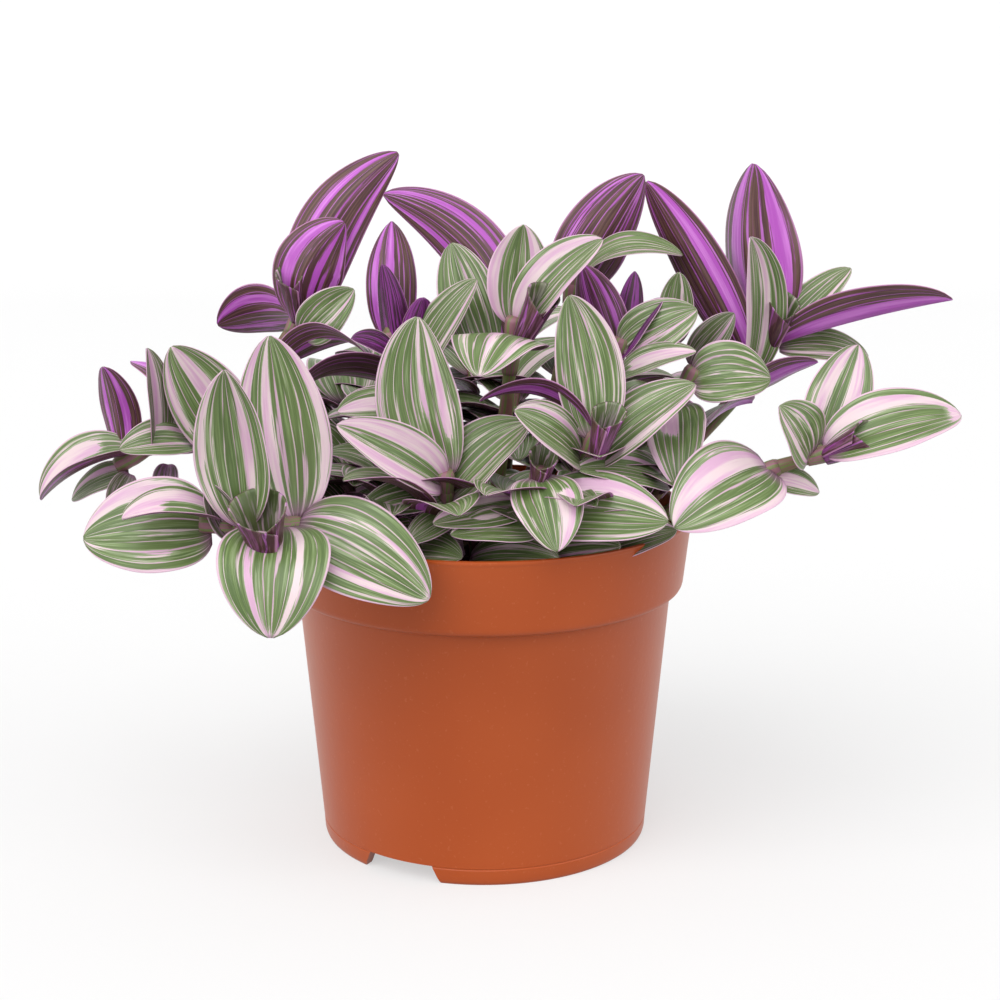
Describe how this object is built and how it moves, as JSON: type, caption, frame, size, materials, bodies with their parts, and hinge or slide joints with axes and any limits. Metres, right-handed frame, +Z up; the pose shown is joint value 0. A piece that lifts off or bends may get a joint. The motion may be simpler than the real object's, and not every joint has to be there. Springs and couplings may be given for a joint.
{
  "type": "potted tradescantia",
  "caption": "Bushy tradescantia with striped green and pink leaves and purple leaf undersides, in a round plastic grow pot with a rim band.",
  "frame": {"origin": "middle of the whole plant's box, at the height the pot stands on, which is within a millimetre of the middle of the pot's foot", "axes": "+Z up, +X to the right and -Y towards the front of the plant"},
  "size_m": [0.2797, 0.1763, 0.2132],
  "materials": {
    "pot_plastic": "satin terracotta-coloured plastic",
    "soil_mix": "rough, crumbly potting soil",
    "stem_green": "smooth, slightly waxy green to purple stem",
    "leaf_striped": "satin leaf, green and pink stripes above and violet below"
  },
  "bodies": {
    "root": {"pot": "pot_plastic", "soil": "soil_mix", "stem_front_left": "stem_green", "stem_far_left": "stem_green", "stem_upper_left": "stem_green", "stem_mid_left": "stem_green", "stem_crown": "stem_green", "stem_front_centre": "stem_green", "stem_front_right": "stem_green", "stem_centre_right": "stem_green", "stem_back_centre": "stem_green", "stem_low_front": "stem_green", "stem_low_right": "stem_green", "stem_right": "stem_green", "stem_mid_right": "stem_green", "stem_back_left": "stem_green", "stem_back_right": "stem_green", "leaf_front_left_1": "leaf_striped", "leaf_front_left_2": "leaf_striped", "leaf_front_left_3": "leaf_striped", "leaf_front_left_4": "leaf_striped", "leaf_front_left_5": "leaf_striped", "leaf_front_left_6": "leaf_striped", "leaf_far_left_1": "leaf_striped", "leaf_far_left_2": "leaf_striped", "leaf_far_left_3": "leaf_striped", "leaf_far_left_4": "leaf_striped", "leaf_far_left_5": "leaf_striped", "leaf_upper_left_1": "leaf_striped", "leaf_upper_left_2": "leaf_striped", "leaf_upper_left_3": "leaf_striped", "leaf_upper_left_4": "leaf_striped", "leaf_mid_left_1": "leaf_striped", "leaf_crown_1": "leaf_striped", "leaf_crown_2": "leaf_striped", "leaf_crown_3": "leaf_striped", "leaf_crown_4": "leaf_striped", "leaf_front_centre_1": "leaf_striped", "leaf_front_centre_2": "leaf_striped", "leaf_front_centre_3": "leaf_striped", "leaf_front_right_1": "leaf_striped", "leaf_front_right_2": "leaf_striped", "leaf_front_right_3": "leaf_striped", "leaf_centre_right_1": "leaf_striped", "leaf_back_centre_1": "leaf_striped", "leaf_back_centre_2": "leaf_striped", "leaf_low_front_1": "leaf_striped", "leaf_low_front_2": "leaf_striped", "leaf_low_front_3": "leaf_striped", "leaf_low_right_1": "leaf_striped", "leaf_low_right_2": "leaf_striped", "leaf_low_right_3": "leaf_striped", "leaf_right_1": "leaf_striped", "leaf_right_2": "leaf_striped", "leaf_right_3": "leaf_striped", "leaf_right_4": "leaf_striped", "leaf_mid_right_1": "leaf_striped", "leaf_mid_right_2": "leaf_striped", "leaf_back_left_1": "leaf_striped", "leaf_back_right_1": "leaf_striped"}
  },
  "joints": []
}
